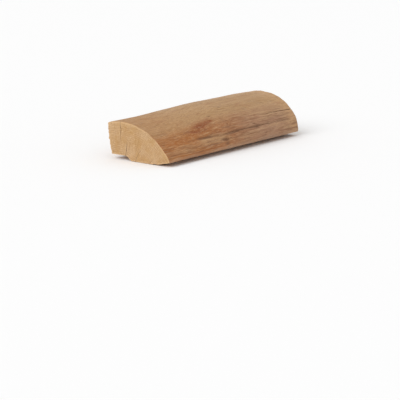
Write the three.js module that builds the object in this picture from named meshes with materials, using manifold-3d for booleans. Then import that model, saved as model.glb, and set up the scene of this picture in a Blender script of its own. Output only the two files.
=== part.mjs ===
// A split log: one billet of debarked, dried hardwood, split off the outside of a round stem.
// It is one piece of wood, so it is one solid. Its round side is the surface that was under the bark, its back
// was split along a radius of the stem, its underside was split across the rings, and both ends were sawn.
//
// Frame: +X runs along the grain, from the slim end to the thick end. The thin edge, where the round side meets
// the underside, points to -Y, the radial split faces +Y, and +Z is up. The origin is the middle of the log's
// outline seen from above, on the surface that the log lies on.
// Sizes are in millimetres. Angles are in degrees about the pith, from straight up, and grow towards +Y.

import * as THREE from "three";
import { mergeVertices } from "three/addons/utils/BufferGeometryUtils.js";
import Module from "manifold-3d";

// The stem that the log was split from
const LENGTH = 250; // between the two sawn ends
const PITH = { y: 29.8, z: -40.3 }; // the stem's centre line, which runs beside and below the log
const STEM_RADIUS = 84.4; // at the slim end, without bark
const SWELL = { height: 12.4, angle: -26, from: -122, to: 15 }; // the stem is fuller towards the thick end
const SWELL_EDGE_SIDE = { reach: 31.5, power: 3 }; // how the fullness dies away towards the thin edge
const SWELL_BACK_SIDE = { reach: 40, power: 1.5 }; // and towards the radial split
const THICK_END_FALL = { depth: 1.6, from: 90 }; // the rim at the thick end is worn down a little

// The log's own outline
const EDGE_ANGLE = -57.4; // the thin edge
const BACK_ANGLE = 14.6; // the top of the radial split
const BACK_WEAR = { depth: 0.8, reach: 1.5 }; // that corner is worn: how deep, and over how many degrees
const BACK_FOOT = { y: 45.4, z: 5.2 }; // the bottom of the radial split
const BACK_BULGE = 1.2; // the split face stands out by this halfway up

// The underside is proud in the middle, and its middle is the flat strip that the log lies on
const BELLY_FULLNESS = 1.15; // 1 would touch the surface along one line, and more makes the strip wider
const LEDGE = { from: 0.64, to: 0.76, start: -60, end: -20 }; // a splinter is missing at the slim end

// The scar of a small branch on the round side
const KNOT = { x: -48, angle: -35.5, height: 0.9, long: 24, wide: 6 };

// Low waves that the grain leaves on each surface: their height, and their spacing across and along the grain
const ROUND_WAVES = { height: 0.3, across: 19, along: 170 };
const BACK_WAVES = { height: 0.8, across: 14, along: 150 };
const UNDERSIDE_WAVES = { height: 0.12, across: 13, along: 160 }; // as a share of the belly

// Drying checks open along the radius. On the ends: where each is in the section, and its length along the
// radius, its mouth and how far it reaches along the grain
const SLIM_END_CHECKS = [
  { angle: 1.5, radius: 84, length: 36, mouth: 1, reach: 46 },
  { angle: -7.1, radius: 43, length: 50, mouth: 1, reach: 38 },
  { angle: -26, radius: 55, length: 22, mouth: 0.8, reach: 22 },
];
const THICK_END_CHECKS = [
  { angle: -39.4, radius: 95, length: 46, mouth: 1.2, reach: 85 },
  { angle: -16, radius: 64, length: 34, mouth: 0.9, reach: 30 },
  { angle: 5, radius: 50, length: 28, mouth: 0.9, reach: 34 },
];
// On the round side: the middle of each, its length along the grain, its mouth and its depth
const SIDE_CHECKS = [
  { x: 35, angle: -46.7, length: 160, mouth: 1.2, depth: 7 },
  { x: -21, angle: -50.4, length: 30, mouth: 0.8, depth: 3 },
];

// How finely the surface is divided
const ALONG = 32;
const ACROSS = 20;
const UP = 12;
const SHOULDER_ANGLE = -29; // the round side is divided in two here

const radians = THREE.MathUtils.degToRad;
const lerp = THREE.MathUtils.lerp;
const smoothstep = THREE.MathUtils.smoothstep;

const wasm = await Module();
wasm.setup();

// Waves that wander as they run along the grain, from about -1 to 1
function ripple({ across, along }, acrossGrain, alongGrain) {
  const a = (2 * Math.PI * acrossGrain) / across;
  const b = (2 * Math.PI * alongGrain) / along;
  const broad = 0.5 * Math.sin(a + 1.3 * Math.sin(b));
  const fine = 0.3 * Math.sin(1.7 * a - b + 2);
  return broad + fine + 0.2 * Math.sin(0.6 * a + 2 * b);
}

// A smooth hill of height 1
function bell(t) {
  return Math.exp(-t * t);
}

// How full the stem is at an angle of its thick end, from 0 to 1
function fullness(angle) {
  const away = angle - SWELL.angle;
  const side = away < 0 ? SWELL_EDGE_SIDE : SWELL_BACK_SIDE;
  return 1 - Math.min(1, Math.abs(away) / side.reach) ** side.power;
}

// Distance of the round side from the pith
function stemRadius(angle, x) {
  const fall = THICK_END_FALL.depth * smoothstep(x, THICK_END_FALL.from, LENGTH / 2);
  const swell = (SWELL.height * smoothstep(x, SWELL.from, SWELL.to) - fall) * fullness(angle);
  const wear = BACK_WEAR.depth * Math.exp((angle - BACK_ANGLE) / BACK_WEAR.reach);
  const knot = KNOT.height * bell((x - KNOT.x) / KNOT.long) * bell((angle - KNOT.angle) / KNOT.wide);
  const wave = ROUND_WAVES.height * ripple(ROUND_WAVES, radians(angle) * STEM_RADIUS, x);
  return STEM_RADIUS + swell - wear + knot + wave;
}

// A point of the section at an angle and a distance from the pith
function fromPith(angle, radius) {
  return { y: PITH.y + radius * Math.sin(radians(angle)), z: PITH.z + radius * Math.cos(radians(angle)) };
}

function roundSide(from, to, share, x) {
  const angle = lerp(from, to, share);
  return fromPith(angle, stemRadius(angle, x));
}

// The underside, from the thin edge to the foot of the radial split
function underside(share, x) {
  const edge = roundSide(EDGE_ANGLE, EDGE_ANGLE, 0, x);
  const y = lerp(edge.y, BACK_FOOT.y, share);
  const ledge = smoothstep(share, LEDGE.from, LEDGE.to) * (1 - smoothstep(x, LEDGE.start, LEDGE.end));
  const wave = 1 + UNDERSIDE_WAVES.height * ripple(UNDERSIDE_WAVES, y, x);
  const belly = BELLY_FULLNESS * (1 - (2 * share - 1) ** 2) * wave * (1 - ledge);
  return { y, z: Math.max(0, lerp(edge.z, BACK_FOOT.z, share) * (1 - belly)) };
}

// The radial split, from its foot to its top
function radialSplit(share, x) {
  const top = roundSide(BACK_ANGLE, BACK_ANGLE, 0, x);
  const wave = BACK_WAVES.height * ripple(BACK_WAVES, share * STEM_RADIUS, x);
  const bulge = (BACK_BULGE + wave) * Math.sin(Math.PI * share);
  return { y: lerp(BACK_FOOT.y, top.y, share) + bulge, z: lerp(BACK_FOOT.z, top.z, share) };
}

// A point of the section at x. Across and up run from 0 to 1, and a point on the rim of that square lies on one
// of the section's sides. Points inside it are spread evenly between them
function sectionPoint(across, up, x) {
  const bottom = underside(across, x);
  const top = roundSide(SHOULDER_ANGLE, BACK_ANGLE, across, x);
  const front = roundSide(EDGE_ANGLE, SHOULDER_ANGLE, up, x);
  const back = radialSplit(up, x);
  const edge = underside(0, x);
  const foot = underside(1, x);
  const shoulder = roundSide(SHOULDER_ANGLE, BACK_ANGLE, 0, x);
  const corner = radialSplit(1, x);
  const blend = (axis) =>
    lerp(bottom[axis], top[axis], up) +
    lerp(front[axis], back[axis], across) -
    lerp(lerp(edge[axis], foot[axis], across), lerp(shoulder[axis], corner[axis], across), up);
  return { y: blend("y"), z: blend("z") };
}

// A finely divided block whose every point is moved to its place on the log
function uncheckedLog() {
  const block = new THREE.BoxGeometry(LENGTH, 1, 1, ALONG, ACROSS, UP);
  const place = block.attributes.position;
  for (let i = 0; i < place.count; i++) {
    const point = sectionPoint(place.getY(i) + 0.5, place.getZ(i) + 0.5, place.getX(i));
    place.setXYZ(i, place.getX(i), point.y, point.z);
  }
  return block;
}

// A drying check is a thin sliver that tapers away along the grain, along the radius and to both sides
function check({ x, angle, radius, alongGrain, alongRadius, mouth }) {
  const point = fromPith(angle, radius);
  return new THREE.OctahedronGeometry(1)
    .scale(alongGrain, mouth / 2, alongRadius)
    .rotateX(radians(-angle))
    .translate(x, point.y, point.z);
}

function endChecks(list, x) {
  return list.map(({ angle, radius, length, mouth, reach }) =>
    check({ x, angle, radius, alongGrain: reach, alongRadius: length / 2, mouth }),
  );
}

function sideChecks(list) {
  return list.map(({ x, angle, length, mouth, depth }) =>
    check({ x, angle, radius: stemRadius(angle, x), alongGrain: length / 2, alongRadius: depth, mouth }),
  );
}

function toSolid(geometry) {
  geometry.deleteAttribute("normal");
  geometry.deleteAttribute("uv");
  const shared = mergeVertices(geometry);
  return new wasm.Manifold(
    new wasm.Mesh({
      numProp: 3,
      vertProperties: shared.attributes.position.array,
      triVerts: Uint32Array.from(shared.index.array),
    }),
  );
}

function toGeometry(solid) {
  const mesh = solid.getMesh();
  const geometry = new THREE.BufferGeometry();
  geometry.setAttribute("position", new THREE.BufferAttribute(mesh.vertProperties, 3));
  geometry.setIndex(new THREE.BufferAttribute(mesh.triVerts, 1));
  geometry.computeVertexNormals();
  return geometry;
}

function splitLog() {
  let solid = toSolid(uncheckedLog());
  const checks = [
    ...endChecks(SLIM_END_CHECKS, -LENGTH / 2),
    ...endChecks(THICK_END_CHECKS, LENGTH / 2),
    ...sideChecks(SIDE_CHECKS),
  ];
  for (const sliver of checks) {
    solid = solid.subtract(toSolid(sliver));
  }
  const geometry = toGeometry(solid);
  geometry.computeBoundingBox();
  const { min, max } = geometry.boundingBox;
  return geometry.translate(-(min.x + max.x) / 2, -(min.y + max.y) / 2, -min.z);
}

const wood = new THREE.MeshStandardMaterial({ color: "#b18e66", roughness: 0.75, metalness: 0 });
const log = new THREE.Mesh(splitLog(), wood);
log.name = "split_log";

const part = new THREE.Group();
part.add(log);
export default part;
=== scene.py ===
# %% [markdown]
# # A split log
# This is a short billet of hardwood for a stove. A round stem was sawn to length and split, its bark
# came off, and the pieces were dried. The log keeps a little of each step: the round side is the
# surface that lay under the bark, the back was split along a radius, the underside was split across the
# rings, and both ends were sawn. The frame gives the plain solid. Here its one piece is made again with
# the relief and the finish of real wood. Shapes are worked out in millimetres, with +X along the grain,
# and turned to metres at the end.

# %% Load the frame
import math

import bmesh
import bpy
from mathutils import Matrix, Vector, noise


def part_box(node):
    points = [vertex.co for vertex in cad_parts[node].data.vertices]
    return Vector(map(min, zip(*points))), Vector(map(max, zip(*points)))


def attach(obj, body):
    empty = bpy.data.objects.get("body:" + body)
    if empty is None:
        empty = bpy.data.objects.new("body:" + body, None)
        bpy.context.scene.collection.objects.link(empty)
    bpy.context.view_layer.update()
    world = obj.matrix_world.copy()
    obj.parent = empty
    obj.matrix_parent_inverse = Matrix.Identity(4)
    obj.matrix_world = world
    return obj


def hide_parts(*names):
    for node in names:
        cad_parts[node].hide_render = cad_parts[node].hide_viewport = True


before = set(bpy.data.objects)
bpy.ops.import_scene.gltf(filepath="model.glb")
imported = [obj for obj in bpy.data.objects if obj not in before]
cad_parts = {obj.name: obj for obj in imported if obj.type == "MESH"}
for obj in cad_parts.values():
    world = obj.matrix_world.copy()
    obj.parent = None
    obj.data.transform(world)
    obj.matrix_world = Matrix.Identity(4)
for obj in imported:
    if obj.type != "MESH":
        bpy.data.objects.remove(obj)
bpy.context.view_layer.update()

MM = 0.001
low, high = [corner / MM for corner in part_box("split_log")]
LENGTH = high.x - low.x
print("nodes in the frame:", list(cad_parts), "mm:", [round(size, 1) for size in high - low])

# %% [markdown]
# ## The camera
# A long lens far away keeps the log's long edges nearly parallel. It looks down a little, from the left
# of the thin edge, so that the slim sawn end and the whole round side show. The camera comes first
# because it settles which details will be seen most closely.

# %% Set up the camera
CAMERA_PLACE = Vector((-1293.4, -1014.4, 319.1))
CAMERA_AZIMUTH = -51.59
CAMERA_ELEVATION = 13.19
LENS = 126
SENSOR = 36

camera = bpy.data.objects.new("camera", bpy.data.cameras.new("camera"))
bpy.context.scene.collection.objects.link(camera)
bpy.context.scene.camera = camera
camera.data.lens = LENS
camera.data.sensor_width = SENSOR
camera.location = CAMERA_PLACE * MM
camera.rotation_euler = (math.radians(90 - CAMERA_ELEVATION), 0, math.radians(CAMERA_AZIMUTH))
print("camera", [round(c, 3) for c in camera.location])

# %% [markdown]
# ## The stem that the log came from
# Wood grows in rings about its pith, so every surface of a log is easiest to describe from there, even
# though the pith itself is not in this piece. A point of the round side is an angle and a distance from
# the pith. The stem is fuller towards the thick end, and a small branch left a low mound. These few
# sizes are the ones that the solid in the frame was made with, so the two have the same outline.

# %% Distance of the round side from the pith
PITH_Y, PITH_Z = 29.8, -40.3
STEM_RADIUS = 84.4
SWELL, SWELL_ANGLE, SWELL_FROM, SWELL_TO = 12.4, -26, -122, 15
EDGE_SIDE_REACH, EDGE_SIDE_POWER = 31.5, 3
BACK_SIDE_REACH, BACK_SIDE_POWER = 40, 1.5
END_FALL, END_FALL_FROM = 1.6, 90
BACK_ANGLE, BACK_WEAR, BACK_WEAR_REACH = 14.6, 0.8, 1.5
EDGE_ANGLE, SHOULDER_ANGLE = -57.4, -29
KNOT_X, KNOT_ANGLE, KNOT_HEIGHT, KNOT_LONG, KNOT_WIDE = -48, -35.5, 0.9, 24, 6
ROUND_WAVES = {"height": 0.3, "across": 19, "along": 170}


def lerp(a, b, share):
    return a + (b - a) * share


def smoothstep(value, start, end):
    share = min(1, max(0, (value - start) / (end - start)))
    return share * share * (3 - 2 * share)


def bell(t):
    return math.exp(-t * t)


def ripple(waves, across_grain, along_grain):
    """The height of waves that wander as they run along the grain."""
    a = math.tau * across_grain / waves["across"]
    b = math.tau * along_grain / waves["along"]
    broad = 0.5 * math.sin(a + 1.3 * math.sin(b))
    return waves["height"] * (broad + 0.3 * math.sin(1.7 * a - b + 2) + 0.2 * math.sin(0.6 * a + 2 * b))


def arc_length(angle):
    """How far round the stem an angle is, in millimetres from straight up."""
    return math.radians(angle) * STEM_RADIUS


def stem_radius(angle, x):
    away = angle - SWELL_ANGLE
    reach, power = (EDGE_SIDE_REACH, EDGE_SIDE_POWER) if away < 0 else (BACK_SIDE_REACH, BACK_SIDE_POWER)
    fullness = 1 - min(1, abs(away) / reach) ** power
    fall = END_FALL * smoothstep(x, END_FALL_FROM, LENGTH / 2)
    swell = (SWELL * smoothstep(x, SWELL_FROM, SWELL_TO) - fall) * fullness
    wear = BACK_WEAR * math.exp((angle - BACK_ANGLE) / BACK_WEAR_REACH)
    knot = KNOT_HEIGHT * bell((x - KNOT_X) / KNOT_LONG) * bell((angle - KNOT_ANGLE) / KNOT_WIDE)
    return STEM_RADIUS + swell - wear + knot + ripple(ROUND_WAVES, arc_length(angle), x)


def from_pith(angle, radius, x):
    turn = math.radians(angle)
    return Vector((x, PITH_Y + radius * math.sin(turn), PITH_Z + radius * math.cos(turn)))


radii = [round(stem_radius(SWELL_ANGLE, x), 1) for x in (-LENGTH / 2, LENGTH / 2)]
print("stem radius at the slim and thick ends:", radii)

# %% [markdown]
# ## The log's own section
# Three curves close the section: the round side, the underside and the radial split. A square block can
# wrap onto them: two of its sides share the round side, one takes the underside and one the split.
# Points inside the square are spread evenly between the curves, which fills the sawn ends with tidy
# faces.

# %% The three curves and the filled section
FOOT_Y, FOOT_Z = 45.4, 5.2
BACK_BULGE = 1.2
BACK_WAVES = {"height": 0.8, "across": 14, "along": 150}
BELLY_FULLNESS = 1.15
BELLY_WAVES = {"height": 0.12, "across": 13, "along": 160}
LEDGE_FROM, LEDGE_TO, LEDGE_START, LEDGE_END = 0.64, 0.76, -60, -20


def round_side(start, end, share, x):
    angle = lerp(start, end, share)
    return from_pith(angle, stem_radius(angle, x), x)


def underside(share, x):
    edge = round_side(EDGE_ANGLE, EDGE_ANGLE, 0, x)
    y = lerp(edge.y, FOOT_Y, share)
    ledge = smoothstep(share, LEDGE_FROM, LEDGE_TO) * (1 - smoothstep(x, LEDGE_START, LEDGE_END))
    wave = 1 + ripple(BELLY_WAVES, y, x)
    belly = BELLY_FULLNESS * (1 - (2 * share - 1) ** 2) * wave * (1 - ledge)
    return Vector((x, y, max(0, lerp(edge.z, FOOT_Z, share) * (1 - belly))))


def radial_split(share, x):
    top = round_side(BACK_ANGLE, BACK_ANGLE, 0, x)
    bulge = (BACK_BULGE + ripple(BACK_WAVES, share * STEM_RADIUS, x)) * math.sin(math.pi * share)
    return Vector((x, lerp(FOOT_Y, top.y, share) + bulge, lerp(FOOT_Z, top.z, share)))


def section_point(across, up, x):
    bottom = underside(across, x)
    top = round_side(SHOULDER_ANGLE, BACK_ANGLE, across, x)
    front = round_side(EDGE_ANGLE, SHOULDER_ANGLE, up, x)
    back = radial_split(up, x)
    edge, foot = underside(0, x), underside(1, x)
    shoulder, corner = round_side(SHOULDER_ANGLE, BACK_ANGLE, 0, x), radial_split(1, x)
    sides = lerp(bottom, top, up) + lerp(front, back, across)
    return sides - lerp(lerp(edge, foot, across), lerp(shoulder, corner, across), up)


print("middle of the top at the slim end:", [round(c, 1) for c in section_point(0.5, 1, -LENGTH / 2)])

# %% [markdown]
# ## The block
# A cube divided along its three directions has an even skin of small faces, and that is the clay for
# the log. Its points run from 0 to 1 each way, so a point's place in the cube says which surface it
# belongs to. The divisions are crowded towards the edges of the cube, because worn edges need the
# finest faces.

# %% Divide a cube and crowd its divisions towards its edges
ALONG_PARTS, ACROSS_PARTS, UP_PARTS = 204, 112, 64
CROWDING = 0.5


def divide(cube, axis, parts):
    """Cuts the edges that run along one axis of a cube into so many parts."""
    lines = [edge for edge in cube.edges if abs(edge.verts[0].co[axis] - edge.verts[1].co[axis]) > 0.5]
    bmesh.ops.subdivide_edges(cube, edges=lines, cuts=parts - 1, use_grid_fill=True)


def crowded(share):
    return share - CROWDING * math.sin(math.tau * share) / math.tau


block = bmesh.new()
bmesh.ops.create_cube(block, size=1)
bmesh.ops.translate(block, verts=block.verts, vec=(0.5, 0.5, 0.5))
for axis, parts in enumerate((ALONG_PARTS, ACROSS_PARTS, UP_PARTS)):
    divide(block, axis, parts)
for vert in block.verts:
    vert.co = [crowded(share) for share in vert.co]
print("block:", len(block.verts), "points,", len(block.faces), "faces")

# %% Note each point's place in the cube, and which surface each face belongs to
ROUND, BACK, UNDER, SLIM_END, THICK_END = range(5)


def surface_of_cube(way_out):
    if way_out.z > 0.5 or way_out.y < -0.5:
        return ROUND
    if abs(way_out.x) > 0.5:
        return THICK_END if way_out.x > 0 else SLIM_END
    return BACK if way_out.y > 0.5 else UNDER


block.normal_update()
for face in block.faces:
    face.material_index = surface_of_cube(face.normal)
relief_layer = block.verts.layers.float.new("relief")
stain_layer = block.verts.layers.float.new("stain")
rim_layer = block.verts.layers.float.new("rim")
shares = {vert: tuple(vert.co) for vert in block.verts}
counts = [sum(face.material_index == surface for face in block.faces) for surface in range(5)]
print("faces of the round side, back, underside and ends:", counts)

# %% [markdown]
# ## Relief of the round side
# Under the bark the wood is smooth but never even. Long shallow flutes run with the grain, fine fibres
# catch the light, and short lens-shaped hollows mark the rays. A few longer grooves have opened where
# the surface dried. Noise that is stretched along the grain gives the first three, and the grooves are
# placed one by one.

# %% The grooves of the round side
GROOVE_FADE, GROOVE_BEND = 14, 50
GROOVES = [
    {"angle": -46.7, "drift": 2.0, "start": -72, "end": 122, "depth": 1.6, "wide": 2.2},
    {"angle": -39.4, "drift": 2.9, "start": 16, "end": 126, "depth": 0.7, "wide": 1.1},
    {"angle": -53.7, "drift": 0.6, "start": -92, "end": -20, "depth": 0.6, "wide": 0.8},
    {"angle": -51.6, "drift": -1.4, "start": 26, "end": 100, "depth": 0.6, "wide": 1.0},
    {"angle": -43.4, "drift": 0.0, "start": 62, "end": 122, "depth": 0.8, "wide": 1.2},
    {"angle": -20.0, "drift": -2.0, "start": -110, "end": -40, "depth": 0.3, "wide": 1.0},
    {"angle": -8.0, "drift": 2.0, "start": -96, "end": -30, "depth": 0.4, "wide": 1.0},
    {"angle": 1.5, "drift": -2.0, "start": 5, "end": 110, "depth": 0.5, "wide": 1.2},
]

# %% [markdown]
# Small dents are told by where each lies, about half its length, about half its width, its depth, and
# how far it turns off the grain. Those of the knot's scar are a list of their own, because they are
# stained as well.

# %% The dents of the round side
DENT_REACH = 3
KNOT_DENTS = [
    (-63, -38.3, 9, 1.6, 0.6, -0.23),
    (-47, -36.1, 9, 2.0, 0.5, -0.08),
    (-31, -34.2, 6, 1.1, 0.5, 0.05),
]
OTHER_DENTS = [
    (-118, -42.4, 3.5, 1.3, 0.7, 0.0),
    (-119, -19.5, 4, 2.4, 0.5, 0.0),
    (-101, -43.1, 5, 1.1, 0.6, 0.0),
    (-87, -29.5, 5, 0.9, 0.5, 0.0),
    (-78, -33.6, 4, 0.9, 0.5, 0.0),
    (-50, -45.6, 13, 2.2, 0.5, -0.04),
    (-29, -18.5, 4, 1.0, 0.4, 0.0),
    (-22, -29.0, 4, 1.0, 0.6, 0.1),
    (-20, -50.6, 9, 1.9, 1.5, -0.1),
    (-18, -53.5, 6, 1.6, 1.2, 0.0),
    (-7, -40.1, 2.2, 1.8, 1.0, 0.0),
    (0, -43.8, 7, 1.2, 0.7, 0.0),
    (5, -32.2, 6, 0.9, 0.5, -0.2),
    (32, -37.0, 9, 0.9, 0.7, -0.05),
    (37, -43.9, 6, 0.8, 0.8, -0.3),
    (57, -52.6, 5, 1.5, 0.8, 0.0),
    (79, -26.7, 6, 0.9, 0.5, 0.0),
]
print(len(GROOVES), "grooves and", len(KNOT_DENTS + OTHER_DENTS), "dents")

# %% The height of the round side over the smooth stem, in millimetres
def streak(along, across, long, wide, seed):
    """Noise from -1 to 1. Along and across are divided by long and wide, which stretches its marks."""
    return noise.noise(Vector((along / long, across / wide, seed)))


def groove_depth(groove, x, arc):
    fade_in = smoothstep(x, groove["start"], groove["start"] + GROOVE_FADE)
    fade_out = 1 - smoothstep(x, groove["end"] - GROOVE_FADE, groove["end"])
    if fade_in * fade_out == 0:
        return 0
    bend = groove["drift"] * (1 - smoothstep(x, groove["start"], groove["start"] + GROOVE_BEND))
    crook = 0.7 * streak(x, arc, long=40, wide=90, seed=groove["angle"])
    away = abs(arc - (arc_length(groove["angle"] + bend) + crook))
    strength = 0.75 + 0.5 * streak(x, 0, long=18, wide=1, seed=groove["angle"])
    return groove["depth"] * fade_in * fade_out * strength * math.exp(-away / groove["wide"])


def dent_depth(dent, x, arc):
    middle_x, angle, long, wide, depth, slope = dent
    along = x - middle_x
    if abs(along) >= DENT_REACH * long:
        return 0
    sideways = arc - arc_length(angle) - slope * along
    return depth * bell(along / long) * bell(sideways / wide)


def round_relief(x, angle):
    straight = arc_length(angle)
    arc = straight + 2.5 * streak(x, straight, long=150, wide=40, seed=7)
    flutes = 0.45 * streak(x, arc, long=120, wide=8, seed=1)
    flutes += 0.2 * streak(x, arc, long=60, wide=3.5, seed=9)
    fibres = 0.12 * streak(x, arc, long=34, wide=1.5, seed=2)
    fibres += 0.07 * streak(x, arc, long=12, wide=0.8, seed=3)
    hollows = 0.45 * smoothstep(streak(x, arc, long=13, wide=2.6, seed=4), 0.35, 0.7)
    grooves = sum(groove_depth(groove, x, straight) for groove in GROOVES)
    dents = sum(dent_depth(dent, x, straight) for dent in KNOT_DENTS + OTHER_DENTS)
    return flutes + fibres - hollows - grooves - dents


print("relief in the long groove:", round(round_relief(0, GROOVES[0]["angle"]), 2), "mm")

# %% [markdown]
# ## Relief of the split faces
# A riven face follows the fibres. Along a radius it leaves long shallow waves and thin raised strands.
# Across the rings the split jumps from ring to ring, so the underside is a set of long terraces with
# torn edges. Nearly all of this goes into the wood rather than out of it, and on the underside all of
# it does, so that the log keeps its outline and lies flat.

# %% Relief of the back, the underside and the sawn ends
TERRACE_STEP = 0.45
BACK_SUNK, END_SUNK = 0.3, 0.1
SAW_MARK_SPACING, SAW_MARK_DEPTH = 3.1, 0.09


def strands(x, across, seed):
    ridge = 1 - abs(streak(x, across, long=90, wide=2.6, seed=seed))
    fine = streak(x, across, long=40, wide=0.9, seed=seed + 1)
    return 0.55 * ridge**3 + 0.14 * fine - 0.5


def back_relief(x, height):
    across = height + 2 * streak(x, height, long=110, wide=30, seed=11)
    tears = 0.8 * smoothstep(streak(x, across, long=45, wide=4, seed=14), 0.25, 0.4)
    waves = 0.4 * streak(x, across, long=100, wide=9, seed=15)
    return strands(x, across, 12) + waves - tears - BACK_SUNK


def under_relief(x, y):
    across = y + 2.5 * streak(x, y, long=120, wide=30, seed=21)
    level = 2.2 * streak(x, across, long=130, wide=16, seed=22)
    level += 0.5 * streak(x, across, long=40, wide=5, seed=25)
    terrace = math.floor(level) + smoothstep(level - math.floor(level), 0.78, 1)
    return strands(x, across, 23) * 0.8 + TERRACE_STEP * (terrace - 1.5)


def end_relief(y, z, seed):
    blade = 0.9 * y + 0.25 * z + 2.5 * streak(y, z, long=60, wide=60, seed=seed)
    strength = SAW_MARK_DEPTH * (0.6 + streak(y, z, long=15, wide=15, seed=seed + 1))
    marks = strength * math.sin(math.tau * blade / SAW_MARK_SPACING)
    fuzz = 0.08 * streak(y, z, long=2.2, wide=2.2, seed=seed + 2)
    return marks + fuzz - END_SUNK


print("relief of a terrace:", round(under_relief(0, 0), 2), "mm")

# %% [markdown]
# ## Worn and torn edges
# Sawn rims are crisp, with a few fibres torn out. The long edges left by the split are softer, and the
# thin one has lost splinters here and there. A point is pulled in along its surface by how near it is
# to such an edge. Near a long edge the relief fades out, so that the two surfaces meet in one line.

# %% How far a point is pulled in at the edges
# About how wide each long surface is, with the round side in two parts, below and above its shoulder
ARC_FRONT, ARC_TOP, UNDER_WIDTH, BACK_HEIGHT = 46, 68, 88, 36
RIM_WEAR, RIM_REACH, TORN_SPACING = 0.3, 0.6, 4
LONG_WEAR, LONG_REACH = 0.35, 0.9
BITE, BITE_REACH = 1.6, 3.0
FADE_REACH = 1.5


def rim_wear(distance, place):
    torn = 1 + 1.5 * noise.noise(place / TORN_SPACING)
    return RIM_WEAR * torn * math.exp(-distance / RIM_REACH)


def side_wear(along, across, up, place):
    """How far a point of a long surface is pulled in, and how much of its relief is left."""
    thin_edge = math.hypot(UNDER_WIDTH * across, ARC_FRONT * up)
    foot = math.hypot(UNDER_WIDTH * (1 - across), BACK_HEIGHT * up)
    top = math.hypot(ARC_TOP * (1 - across), BACK_HEIGHT * (1 - up))
    nearest = min(thin_edge, foot, top)
    ragged = 1 + 1.2 * streak(place.x, across + up, long=9, wide=1, seed=31)
    bitten = smoothstep(streak(place.x, 0, long=21, wide=1, seed=33), 0.15, 0.5)
    bite = BITE * bitten * math.exp(-thin_edge / BITE_REACH)
    rim = rim_wear(LENGTH * min(along, 1 - along), place)
    wear = rim + bite + LONG_WEAR * ragged * math.exp(-nearest / LONG_REACH)
    return wear, 1 - math.exp(-nearest / FADE_REACH)


def from_rim(across, up):
    """About how far a point of a sawn end is from its rim."""
    sideways = UNDER_WIDTH * min(across, 1 - across)
    return min(sideways, ARC_FRONT * up, BACK_HEIGHT * (1 - up))


print("wear on a rim:", round(rim_wear(0, Vector()), 2), "mm")

# %% [markdown]
# ## Wrapping the block onto the log
# Every point now moves from the cube to its place on the section, and then out or in by its surface's
# relief. A point on a rim lies on two surfaces and takes both reliefs, so the outline of a sawn end
# shows the flutes. Three numbers are kept with each point for the finishes: its relief, because the
# hollows are darkened with painted shade, how deep it lies in the knot's stain, and how far it is from
# the rim of a sawn end.

# %% Move the points and keep their relief
BACK_LEAN = math.radians(14.5)
OUT_OF_BACK = Vector((0, math.cos(BACK_LEAN), -math.sin(BACK_LEAN)))
UNDER_LIFT = 0.35
# The cloud of the knot's stain is told as a dent is
STAIN_CLOUD = (KNOT_X, KNOT_ANGLE, 23, 8, 0.6, 0.1)


def knot_stain(x, angle):
    """1 in the wrinkles of the knot's scar, about half in the cloud round it, and 0 well away from it."""
    arc = arc_length(angle)
    ragged = 1 + 0.8 * streak(x, arc, long=16, wide=2.4, seed=51)
    wrinkles = sum(dent_depth(dent, x, arc) for dent in KNOT_DENTS)
    return min(1, dent_depth(STAIN_CLOUD, x, arc) * ragged + 0.9 * wrinkles)


def round_angle(across, up):
    return lerp(SHOULDER_ANGLE, BACK_ANGLE, across) if up == 1 else lerp(EDGE_ANGLE, SHOULDER_ANGLE, up)


def long_surfaces(across, up, place):
    """The way out of each long surface that a point lies on, and the height of its relief there."""
    if across == 0 or up == 1:
        angle = round_angle(across, up)
        turn = math.radians(angle)
        yield Vector((0, math.sin(turn), math.cos(turn))), round_relief(place.x, angle)
    if across == 1:
        yield OUT_OF_BACK, back_relief(place.x, place.z)
    if up == 0:
        yield Vector((0, 0, -1)), min(0, under_relief(place.x, place.y) + UNDER_LIFT)


def on_the_log(along, across, up):
    place = section_point(across, up, LENGTH * (along - 0.5))
    wear, left = side_wear(along, across, up, place)
    shift, relief = Vector(), 0
    for out, height in long_surfaces(across, up, place):
        shift += out * (height * left - wear)
        relief += height
    if along in (0, 1):
        height = end_relief(place.y, place.z, 41 + along)
        shift.x = (2 * along - 1) * (height - rim_wear(from_rim(across, up), place))
        relief += height
    return place + shift, relief


for vert, (along, across, up) in shares.items():
    vert.co, vert[relief_layer] = on_the_log(along, across, up)
    vert[rim_layer] = from_rim(across, up)
    if across == 0 or up == 1:
        vert[stain_layer] = knot_stain(vert.co.x, round_angle(across, up))
ys = [vert.co.y for vert in block.verts]
CENTRE_Y = (min(ys) + max(ys)) / 2 - (low.y + high.y) / 2
bmesh.ops.translate(block, verts=block.verts, vec=(0, -CENTRE_Y, 0))
print("the pith in the frame is at y =", round(PITH_Y - CENTRE_Y, 2), "mm")

# %% [markdown]
# ## A flat map of the surface
# A finish made of nodes can only be used outside Blender once it is baked onto a flat sheet. So each
# surface gets a place of its own on one square sheet, all at about the same scale. A long surface
# unrolls into a rectangle, and a sawn end is laid down just as it is.

# %% Lay the five surfaces out on a sheet
SHEET, MARGIN = 310, 4
UNDER_AT = MARGIN + ARC_FRONT + ARC_TOP + MARGIN
BACK_AT = UNDER_AT + UNDER_WIDTH + MARGIN
ENDS_AT = BACK_AT + BACK_HEIGHT + MARGIN
END_WIDTH, END_HEIGHT = high.y - low.y, high.z - low.z
SAPWOOD_SLOT, RIVEN_SLOT, END_GRAIN_SLOT = 0, 1, 2
SLOT_OF = {ROUND: SAPWOOD_SLOT, BACK: RIVEN_SLOT, UNDER: RIVEN_SLOT}
SLOT_OF.update({SLIM_END: END_GRAIN_SLOT, THICK_END: END_GRAIN_SLOT})
sheet = block.loops.layers.uv.new("OFBake")


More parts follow.
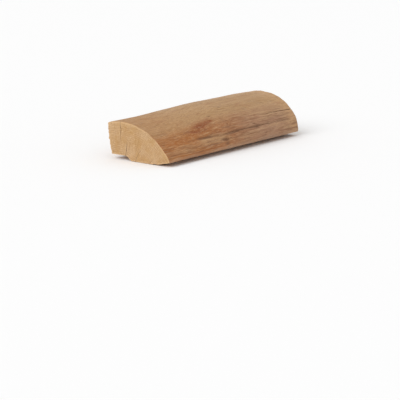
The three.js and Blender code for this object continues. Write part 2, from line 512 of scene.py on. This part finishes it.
def sheet_place(surface, vert):
    along, across, up = shares[vert]
    if surface == ROUND:
        return MARGIN + LENGTH * along, MARGIN + ARC_FRONT * up + ARC_TOP * across
    if surface == UNDER:
        return MARGIN + LENGTH * along, UNDER_AT + UNDER_WIDTH * across
    if surface == BACK:
        return MARGIN + LENGTH * along, BACK_AT + BACK_HEIGHT * up
    start = MARGIN if surface == SLIM_END else 2 * MARGIN + END_WIDTH
    return start + vert.co.y - low.y, ENDS_AT + vert.co.z - low.z


for face in block.faces:
    for loop in face.loops:
        loop[sheet].uv = [place / SHEET for place in sheet_place(face.material_index, loop.vert)]
    face.material_index = SLOT_OF[face.material_index]
print("the sheet is used up to", round(ENDS_AT + END_HEIGHT), "of", SHEET, "mm")

# %% [markdown]
# ## Drying checks
# Wood shrinks more round the rings than across them, so as it dries it opens in cracks that point at
# the pith. A check is widest where it meets the surface and closes to nothing along the grain and into
# the wood. Each one is cut from the log by a sliver: a thin divided box, bent to a slightly crooked
# sheet that points at the pith, and thinned towards its tips. Cutting gives the crack real walls, which
# a painted line would not have.

# %% A sliver for one drying check
SLIVER_STEPS, SLIVER_LAYERS = 24, 8
THINNEST = 0.015
CHECK_SHEET_AT = 2 * (MARGIN + END_WIDTH) + MARGIN
CHECK_CELL_WIDTH, CHECK_CELL_HEIGHT, CHECK_CELLS_ACROSS = 18, 8, 6
WALL_WIDTH, WALL_HEIGHT, OTHER_WALL_ABOVE = 16, 3.4, 3.6


def sliver(number, place, half_width):
    """A thin box whose middle follows place(run, depth), half_width(run, depth) thick on either side."""
    thin = bmesh.new()
    bmesh.ops.create_cube(thin, size=1)
    bmesh.ops.translate(thin, verts=thin.verts, vec=(0.5, 0, 0.5))
    divide(thin, 0, SLIVER_STEPS)
    divide(thin, 2, SLIVER_LAYERS)
    uv = thin.loops.layers.uv.new("OFBake")
    right = CHECK_SHEET_AT + CHECK_CELL_WIDTH * (number % CHECK_CELLS_ACROSS)
    above = ENDS_AT + CHECK_CELL_HEIGHT * (number // CHECK_CELLS_ACROSS)
    for face in thin.faces:
        wall = OTHER_WALL_ABOVE if face.calc_center_median().y > 0 else 0
        for loop in face.loops:
            run, depth = loop.vert.co.x, loop.vert.co.z
            loop[uv].uv = (right + WALL_WIDTH * run) / SHEET, (above + WALL_HEIGHT * depth + wall) / SHEET
    for vert in thin.verts:
        run, side, depth = vert.co
        x, angle, radius = place(run, depth)
        middle = from_pith(angle, radius, x)
        turn = math.radians(angle)
        sideways = Vector((0, math.cos(turn), -math.sin(turn)))
        vert.co = middle + sideways * math.copysign(max(THINNEST, half_width(run, depth)), side)
    return thin


# %% [markdown]
# The checks in a sawn end run along a radius, some out to the rim, some to the underside and one to
# neither. Those in the round side follow the grain. Both kinds are told by a few sizes, and a sliver
# starts a little way outside the wood, so that it cuts the surface cleanly.

END_CHECKS = [
    {"end": -1, "angle": 1.5, "inner": 60, "outer": 91, "mouth": 0.5, "reach": 46, "opens": "rim"},
    {"end": -1, "angle": -7.1, "inner": 39, "outer": 67, "mouth": 0.55, "reach": 38, "opens": "pith"},
    {"end": -1, "angle": -26, "inner": 44, "outer": 64, "mouth": 0.35, "reach": 22, "opens": "pith"},
    {"end": 1, "angle": -39.4, "inner": 73, "outer": 101, "mouth": 0.8, "reach": 85, "opens": "rim"},
    {"end": 1, "angle": -16, "inner": 47, "outer": 81, "mouth": 0.7, "reach": 30, "opens": ""},
    {"end": 1, "angle": 5, "inner": 36, "outer": 64, "mouth": 0.8, "reach": 34, "opens": "pith"},
]
SIDE_CHECKS = [
    {"angle": -46.7, "start": -42, "end": 114, "mouth": 0.5, "depth": 7},
    {"angle": -50.4, "start": -33, "end": -8, "mouth": 0.45, "depth": 3},
]
PAST_END, PAST_SIDE = 1, 1.5


def end_check(number, check):
    rim = check["end"] * LENGTH / 2

    def place(run, depth):
        # It reaches a quarter less far along the grain at its outer end
        inward = check["reach"] * depth * (1.02 - 0.25 * run)
        x = rim - check["end"] * (inward - PAST_END)
        wander = 0.9 * noise.noise(Vector((run * 3, depth, number)))
        return x, check["angle"] + wander, lerp(check["inner"], check["outer"], run)

    def half_width(run, depth):
        inner = 1 if check["opens"] == "pith" else run
        outer = 1 if check["opens"] == "rim" else 1 - run
        taper = min(1, 2 * inner * outer)
        ragged = 1 + 0.5 * noise.noise(Vector((run * 9, depth * 4, number + 50)))
        return check["mouth"] / 2 * taper**0.8 * (1 - depth) ** 0.9 * ragged

    return sliver(number, place, half_width)


def side_check(number, check):
    def place(run, depth):
        x = lerp(check["start"], check["end"], run)
        angle = check["angle"] + 0.45 * noise.noise(Vector((x / 30, 0, number)))
        return x, angle, stem_radius(angle, x) + PAST_SIDE - (check["depth"] + PAST_SIDE) * depth

    def half_width(run, depth):
        spindle = math.sin(math.pi * run) ** 0.6
        ragged = 1 + 0.6 * noise.noise(Vector((run * 14, 0, number + 70)))
        return check["mouth"] / 2 * spindle * (1 - depth) ** 0.8 * ragged

    return sliver(number, place, half_width)


all_slivers = bmesh.new()
kinds = [(end_check, check) for check in END_CHECKS] + [(side_check, check) for check in SIDE_CHECKS]
for number, (make, check) in enumerate(kinds):
    thin = make(number, check)
    bmesh.ops.translate(thin, verts=thin.verts, vec=(0, -CENTRE_Y, 0))
    bmesh.ops.recalc_face_normals(thin, faces=thin.faces)
    spare = bpy.data.meshes.new("spare")
    thin.to_mesh(spare)
    thin.free()
    all_slivers.from_mesh(spare)
    bpy.data.meshes.remove(spare)
print(len(kinds), "checks to cut, with", len(all_slivers.faces), "faces")

# %% [markdown]
# ## Nodes, colours and wood
# A finish is a small tree of nodes. One helper adds a node, sets its options and fills or links its
# inputs. Colours are written as they look on a screen, and the shader wants them linear, so one
# function turns them. Wood has one pattern that runs right through it: every surface cuts the same
# rings and the same fibres. So all the finishes read one set of coordinates, in millimetres from the
# pith, and each is a ground colour with layers over it. A layer is a shade, and the noise or relief
# that says where it lies and how thickly.

# %% Helpers for the finishes
# A Mix node has sockets for numbers and for colours side by side, so those in use are told by their place
AMOUNT, NUMBER_A, NUMBER_B, COLOUR_A, COLOUR_B = 0, 2, 3, 6, 7
MIXED_NUMBER, MIXED_COLOUR = 0, 2


def linear(hex_colour):
    channels = [int(hex_colour[i : i + 2], 16) / 255 for i in (1, 3, 5)]
    return tuple(c / 12.92 if c <= 0.04045 else ((c + 0.055) / 1.055) ** 2.4 for c in channels) + (1,)


def add(tree, kind, inputs=None, **settings):
    """Adds a node, sets its options, and fills or links its inputs. Returns the node."""
    node = tree.nodes.new(kind)
    for name, value in settings.items():
        setattr(node, name, value)
    for key, value in (inputs or {}).items():
        if isinstance(value, bpy.types.NodeSocket):
            tree.links.new(value, node.inputs[key])
        else:
            node.inputs[key].default_value = linear(value) if isinstance(value, str) else value
    return node


def layer(tree, under, shade, value, start, end, most=1.0):
    """The colour under, with a shade over it: none where the value is start, and the most at end."""
    limits = {"Value": value, "From Min": start, "From Max": end, "To Max": most}
    amount = add(tree, "ShaderNodeMapRange", limits, interpolation_type="SMOOTHSTEP").outputs["Result"]
    colours = {AMOUNT: amount, COLOUR_A: under, COLOUR_B: shade}
    return add(tree, "ShaderNodeMix", colours, data_type="RGBA").outputs[MIXED_COLOUR]


def grain(tree, place, along, across, detail=2.0):
    """Noise from 0 to 1 whose spots are along millimetres long and across millimetres wide."""
    scale = (1 / along, 1 / across, 1 / across)
    stretched = add(tree, "ShaderNodeMapping", {"Vector": place, "Scale": scale})
    spots = {"Vector": stretched.outputs[0], "Scale": 1.0, "Detail": detail, "Roughness": 0.55}
    return add(tree, "ShaderNodeTexNoise", spots).outputs["Fac"]


def from_the_pith(tree):
    """The place in millimetres from the pith, the distance from it, and the turn about it in radians."""
    spot = add(tree, "ShaderNodeTexCoord").outputs["Object"]
    origin = (0, CENTRE_Y - PITH_Y, -PITH_Z)
    to_pith = {"Vector": spot, "Location": origin, "Scale": (1 / MM, 1 / MM, 1 / MM)}
    place = add(tree, "ShaderNodeMapping", to_pith).outputs[0]
    flat = add(tree, "ShaderNodeVectorMath", {0: place, 1: (0, 1, 1)}, operation="MULTIPLY").outputs[0]
    distance = add(tree, "ShaderNodeVectorMath", {0: flat}, operation="LENGTH").outputs["Value"]
    parts = add(tree, "ShaderNodeSeparateXYZ", {0: place}).outputs
    turn = add(tree, "ShaderNodeMath", {0: parts["Y"], 1: parts["Z"]}, operation="ARCTAN2").outputs[0]
    return place, distance, turn


def finish_surface(tree, colour, height, depth):
    """Gives the shader its colour, and a bump of so many millimetres from a height between 0 and 1."""
    shader = tree.nodes["Principled BSDF"]
    bump = add(tree, "ShaderNodeBump", {"Height": height, "Strength": 1.0, "Distance": depth * MM})
    tree.links.new(colour, shader.inputs["Base Color"])
    tree.links.new(bump.outputs["Normal"], shader.inputs["Normal"])
    return shader


def follow_fibres(tree, shader, fibres, smoothest, roughest):
    """Lets the roughness follow the fibres, so that each strand takes the light a little differently."""
    matt = {"Value": fibres, "From Min": 0.3, "From Max": 0.7, "To Min": smoothest, "To Max": roughest}
    roughness = add(tree, "ShaderNodeMapRange", matt).outputs["Result"]
    tree.links.new(roughness, shader.inputs["Roughness"])


def start_finish(name):
    material = bpy.data.materials.new(name)
    material.use_nodes = True
    return material, material.node_tree


print("mid brown in linear light:", [round(c, 3) for c in linear("#b1865e")])

# %% [markdown]
# ## The round side: debarked sapwood
# This is the outermost wood, bared when the bark came off and browned by drying in the air. It is matt.
# Towards the thin edge, where it was handled and lay on other logs, it is redder and more streaked, and
# it is darker there too, partly from wear and partly as painted shade; the upper part is a smooth even
# tan. The slim end is warmer, the thick end is greyer and pales again at its rim. Fibres, strands,
# pores and patches are noises of their real sizes. The finest pores are a tenth of a millimetre wide,
# and they are drawn a few times coarser so that they show at all. Painted shade darkens the hollows,
# and sap left a red-brown stain about the knot.

# %% Where the round side is worn and darkened with painted shade
# The share of wear and painted shade grows from the upper part down towards the thin edge
WEAR_AND_SHADE_FROM, WEAR_AND_SHADE_TO, LEAST_WEAR_AND_SHADE = math.radians(-24), math.radians(-46), 0.2


def wear_and_painted_shade(tree, turn):
    """1 low down, towards the thin edge, and little on the upper part."""
    low_down = {"Value": turn, "From Min": WEAR_AND_SHADE_FROM, "From Max": WEAR_AND_SHADE_TO, "To Min": LEAST_WEAR_AND_SHADE}
    return add(tree, "ShaderNodeMapRange", low_down, interpolation_type="SMOOTHSTEP").outputs["Result"]


def where_worn(tree, wear_and_shade, pattern, even):
    """The same pattern, brought close to an even value where the surface is little worn."""
    fainter = {AMOUNT: wear_and_shade, NUMBER_A: even, NUMBER_B: pattern}
    return add(tree, "ShaderNodeMix", fainter).outputs[MIXED_NUMBER]


print("worn from", round(math.degrees(WEAR_AND_SHADE_FROM)), "to", round(math.degrees(WEAR_AND_SHADE_TO)), "degrees")

# %% Debarked sapwood, air-dried
EVEN_STRANDS, EVEN_MOTTLE = 0.49, 0.5
RAGGED, STRIP_FROM, STRIP_TO = math.radians(5), math.radians(-52), math.radians(-54.4)


def debarked_sapwood():
    material, tree = start_finish("debarked_sapwood")
    place, _, turn = from_the_pith(tree)
    along = add(tree, "ShaderNodeSeparateXYZ", {0: place}).outputs["X"]
    relief = add(tree, "ShaderNodeAttribute", attribute_name="relief").outputs["Fac"]
    stain = add(tree, "ShaderNodeAttribute", attribute_name="stain").outputs["Fac"]
    wear_and_shade = wear_and_painted_shade(tree, turn)
    broad = grain(tree, place, 80, 16, 2)
    patches = grain(tree, place, 26, 7, 3)
    mottle = where_worn(tree, wear_and_shade, grain(tree, place, 20, 4, 3), EVEN_MOTTLE)
    strands = where_worn(tree, wear_and_shade, grain(tree, place, 34, 2.8, 3), EVEN_STRANDS)
    fibres = grain(tree, place, 20, 1.0, 4)
    lines = grain(tree, place, 70, 0.5, 3)
    pores = grain(tree, place, 7, 0.45, 2)
    vessels = grain(tree, place, 5, 0.28, 1)

    # The turn made uneven by the patches, for the ragged border of the pale strip along the thin edge
    uneven = {0: patches, 1: RAGGED, 2: turn}
    ragged_turn = add(tree, "ShaderNodeMath", uneven, operation="MULTIPLY_ADD").outputs[0]

    low_ground = layer(tree, "#a2622c", "#a98062", along, -70, 75)
    # Darker and redder towards the thin edge: partly the wood's own colour, partly painted shade
    colour = layer(tree, "#af895e", low_ground, wear_and_shade, LEAST_WEAR_AND_SHADE, 1)
    colour = layer(tree, colour, "#c69b6b", along, 88, 118, 0.6)
    colour = layer(tree, colour, "#bf9a70", broad, 0.5, 0.72, 0.6)
    colour = layer(tree, colour, "#96603c", patches, 0.55, 0.75, 0.55)
    colour = layer(tree, colour, "#8b7057", patches, 0.42, 0.22, 0.45)
    colour = layer(tree, colour, "#8c4b22", stain, 0.05, 0.8)
    colour = layer(tree, colour, "#7c5238", mottle, 0.54, 0.7, 0.55)
    colour = layer(tree, colour, "#bd9775", mottle, 0.44, 0.28, 0.5)
    colour = layer(tree, colour, "#7d5233", strands, 0.52, 0.7, 0.7)
    colour = layer(tree, colour, "#c49c71", strands, 0.46, 0.28, 0.6)
    colour = layer(tree, colour, "#a96a2c", along, -40, -110, 0.25)
    colour = layer(tree, colour, "#7f5536", fibres, 0.52, 0.78, 0.55)
    colour = layer(tree, colour, "#c6a27b", fibres, 0.45, 0.25, 0.4)
    colour = layer(tree, colour, "#b3937a", ragged_turn, STRIP_FROM, STRIP_TO, 0.5)
    colour = layer(tree, colour, "#7b5537", lines, 0.54, 0.63, 0.35)
    colour = layer(tree, colour, "#cdab82", lines, 0.46, 0.37, 0.35)
    colour = layer(tree, colour, "#6d4a30", pores, 0.58, 0.8, 0.45)
    colour = layer(tree, colour, "#5c3d27", vessels, 0.6, 0.68, 0.45)
    # Painted shade: darker the deeper a hollow lies
    colour = layer(tree, colour, "#613d25", relief, -0.4, -1.5, 0.8)

    both = {AMOUNT: 0.5, NUMBER_A: fibres, NUMBER_B: lines}
    height = add(tree, "ShaderNodeMix", both).outputs[MIXED_NUMBER]
    shader = finish_surface(tree, colour, height, 0.25)
    follow_fibres(tree, shader, fibres, 0.62, 0.78)
    shader.inputs["Specular IOR Level"].default_value = 0.3
    shader.inputs["Sheen Weight"].default_value = 0.06
    return material


sapwood = debarked_sapwood()
print(sapwood.name, "with", len(sapwood.node_tree.nodes), "nodes")

# %% [markdown]
# ## The split faces: riven wood
# A riven face was inside the stem until the log was split, so it is a little fresher and redder than
# the round side. It shows the growth rings edge on, as bands that run with the grain, and every strand
# that was torn. A ring was one year's growth, about two millimetres, pale where it grew in spring and
# darker towards its end.

# %% Riven hardwood
RING_SPACING = 2.1
RING_WANDER = 9.0


def ring_phase(tree, place, distance):
    """How far through its growth ring a point is: 0 at the start of spring, 1 at the end of summer."""
    wander = grain(tree, place, 120, 22, 2)
    inputs = {0: wander, 1: RING_WANDER, 2: distance}
    shifted = add(tree, "ShaderNodeMath", inputs, operation="MULTIPLY_ADD").outputs[0]
    rings = add(tree, "ShaderNodeMath", {0: shifted, 1: RING_SPACING}, operation="DIVIDE").outputs[0]
    return add(tree, "ShaderNodeMath", {0: rings}, operation="FRACT").outputs[0]


def riven_hardwood():
    material, tree = start_finish("riven_hardwood")
    place, distance, _ = from_the_pith(tree)
    relief = add(tree, "ShaderNodeAttribute", attribute_name="relief").outputs["Fac"]
    phase = ring_phase(tree, place, distance)
    broad = grain(tree, place, 110, 16, 2)
    fibres = grain(tree, place, 36, 0.9, 4)
    pores = grain(tree, place, 9, 0.4, 2)

    colour = layer(tree, "#b98a62", "#c79f78", broad, 0.35, 0.65)
    colour = layer(tree, colour, "#a3714b", phase, 0.45, 1.0, 0.5)
    colour = layer(tree, colour, "#93633f", fibres, 0.5, 0.8, 0.7)
    colour = layer(tree, colour, "#d9b892", fibres, 0.45, 0.2, 0.5)
    colour = layer(tree, colour, "#7b5135", pores, 0.6, 0.85, 0.5)
    # Painted shade: darker the deeper a hollow lies
    colour = layer(tree, colour, "#7a5238", relief, -0.7, -1.9, 0.6)

    both = {AMOUNT: 0.35, NUMBER_A: fibres, NUMBER_B: pores}
    height = add(tree, "ShaderNodeMix", both).outputs[MIXED_NUMBER]
    shader = finish_surface(tree, colour, height, 0.32)
    follow_fibres(tree, shader, fibres, 0.65, 0.82)
    shader.inputs["Specular IOR Level"].default_value = 0.3
    return material


riven = riven_hardwood()
print(riven.name, "with", len(riven.node_tree.nodes), "nodes")

# %% [markdown]
# ## The sawn ends: end grain
# A saw leaves cut fibre ends, which are paler and drier than the sides. The band along the rim is paler
# still: partly torn fibres that stand up, partly a painted highlight. Fine arcs are the growth rings,
# thin lines towards the pith are the rays, and a few hairline splits follow the rays. Rays are drawn
# about five times wider than real ones, which are too thin to show.

# %% Sawn end grain
HAIRLINE_AT, HAIRLINE_WIDTH = 0.5, 0.006


def sawn_end_grain():
    material, tree = start_finish("sawn_end_grain")
    place, distance, turn = from_the_pith(tree)
    round_pith = add(tree, "ShaderNodeMath", {0: turn, 1: STEM_RADIUS}, operation="MULTIPLY").outputs[0]
    polar = add(tree, "ShaderNodeCombineXYZ", {0: distance, 1: round_pith}).outputs[0]
    phase = ring_phase(tree, place, distance)
    rays = grain(tree, polar, 16, 0.5, 2)
    hairlines = grain(tree, polar, 60, 3.0, 1)
    patches = grain(tree, place, 14, 14, 3)
    mottle = grain(tree, place, 7, 7, 2)
    flecks = grain(tree, place, 2.4, 2.4, 3)
    fuzz = grain(tree, place, 0.7, 0.7, 2)
    rim = add(tree, "ShaderNodeAttribute", attribute_name="rim").outputs["Fac"]

    colour = layer(tree, "#b69164", "#c1a07a", patches, 0.35, 0.65)
    late_wood = layer(tree, colour, "#8c5f37", phase, 0.45, 1.0, 0.55)
    colour = layer(tree, colour, late_wood, mottle, 0.25, 0.7)
    colour = layer(tree, colour, "#a07a4c", flecks, 0.53, 0.72, 0.5)
    colour = layer(tree, colour, "#d6b88f", flecks, 0.45, 0.28, 0.5)
    colour = layer(tree, colour, "#cdac83", rays, 0.58, 0.75, 0.45)
    colour = layer(tree, colour, "#966a42", rays, 0.42, 0.25, 0.5)
    colour = layer(tree, colour, "#86603b", fuzz, 0.55, 0.8, 0.3)
    # Paler near the rim: torn fibres, and a painted highlight along it
    colour = layer(tree, colour, "#d5b38a", rim, 3.0, 0.3, 0.5)
    near = {0: hairlines, 1: HAIRLINE_AT, 2: HAIRLINE_WIDTH}
    split = add(tree, "ShaderNodeMath", near, operation="COMPARE").outputs[0]
    colour = layer(tree, colour, "#6c4829", split, 0, 1, 0.35)

    both = {AMOUNT: 0.5, NUMBER_A: fuzz, NUMBER_B: phase}
    height = add(tree, "ShaderNodeMix", both).outputs[MIXED_NUMBER]
    shader = finish_surface(tree, colour, height, 0.1)
    shader.inputs["Roughness"].default_value = 0.85
    shader.inputs["Specular IOR Level"].default_value = 0.2
    return material


end_grain = sawn_end_grain()
print(end_grain.name, "with", len(end_grain.node_tree.nodes), "nodes")

# %% [markdown]
# ## Inside the checks
# The walls of a drying check are clean wood that light hardly reaches, and their dark warm brown is
# painted shade.

# %% Wood inside a check, with its shade painted in
def shaded_check_wall():
    material, tree = start_finish("shaded_check_wall")
    place, _, _ = from_the_pith(tree)
    fibres = grain(tree, place, 20, 0.8, 2)
    # Painted shade: the walls are dark brown because the crack lies in shadow
    colour = layer(tree, "#5a3c27", "#7d573a", fibres, 0.35, 0.65)
    shader = finish_surface(tree, colour, fibres, 0.1)
    shader.inputs["Roughness"].default_value = 0.9
    shader.inputs["Specular IOR Level"].default_value = 0.1
    return material


inside = shaded_check_wall()
print(inside.name, "with", len(inside.node_tree.nodes), "nodes")

# %% [markdown]
# ## Cutting the checks
# The slivers are one cutter, and a Boolean modifier takes them all out of the log at once. Its result
# is written back to the mesh.

# %% Make the log's mesh and cut it
def mesh_object(name, shape, materials):
    """Makes a mesh object in metres from a shape in millimetres, which is freed."""
    bmesh.ops.scale(shape, verts=shape.verts, vec=(MM, MM, MM))
    mesh = bpy.data.meshes.new(name)
    shape.to_mesh(mesh)
    shape.free()
    for material in materials:
        mesh.materials.append(material)
    made = bpy.data.objects.new(name, mesh)
    bpy.context.scene.collection.objects.link(made)
    return made


log = mesh_object("billet", block, [sapwood, riven, end_grain])
cutter = mesh_object("slivers", all_slivers, [inside])
modifier = log.modifiers.new("checks", "BOOLEAN")
modifier.operation = "DIFFERENCE"
modifier.solver = "EXACT"
modifier.material_mode = "TRANSFER"
modifier.object = cutter
cut_mesh = bpy.data.meshes.new_from_object(log.evaluated_get(bpy.context.evaluated_depsgraph_get()))
log.modifiers.clear()
log.data = cut_mesh
log.data.name = "billet"
bpy.data.objects.remove(cutter)
print("log after the cut:", len(log.data.vertices), "points,", len(log.data.polygons), "faces")

# %% Shade the log smooth but for its edges, put it on its body and hide the plain part
SHARP_EDGE = math.radians(50)
log.data.shade_smooth()
log.data.set_sharp_from_angle(angle=SHARP_EDGE)
log.data.calc_loop_triangles()
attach(log, "root")
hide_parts("split_log")
print("log:", len(log.data.loop_triangles), "triangles, riding on root")

# %% [markdown]
# ## Floor and light
# A plain white floor and a large soft light keep attention on the wood. The main light stands high on
# the left, in front, so that the sawn end is the brightest face and the thin edge falls into soft
# shade.

# %% Floor
FLOOR_REACH = 12000


def floor_finish():
    material, tree = start_finish("white_paper")
    shader = tree.nodes["Principled BSDF"]
    shader.inputs["Base Color"].default_value = linear("#f4f4f4")
    shader.inputs["Roughness"].default_value = 0.9
    shader.inputs["Specular IOR Level"].default_value = 0.1
    return material


ground = bmesh.new()
bmesh.ops.create_grid(ground, x_segments=1, y_segments=1, size=FLOOR_REACH)
floor = mesh_object("floor", ground, [floor_finish()])
print("floor:", FLOOR_REACH * MM, "m each way")

# %% Light
KEY_TURN, KEY_HEIGHT, KEY_SOFTNESS, KEY_STRENGTH = -102, 42, 50, 1.6
WORLD_STRENGTH = 0.75

key = bpy.data.objects.new("key", bpy.data.lights.new("key", "SUN"))
bpy.context.scene.collection.objects.link(key)
key.data.energy = KEY_STRENGTH
key.data.angle = math.radians(KEY_SOFTNESS)
key.rotation_euler = (math.radians(90 - KEY_HEIGHT), 0, math.radians(KEY_TURN))
world = bpy.data.worlds.new("studio")
bpy.context.scene.world = world
world.use_nodes = True
background = world.node_tree.nodes["Background"]
background.inputs["Color"].default_value = linear("#ffffff")
background.inputs["Strength"].default_value = WORLD_STRENGTH
bpy.context.scene.view_settings.view_transform = "Standard"
print("lights:", key.name, "and", world.name)
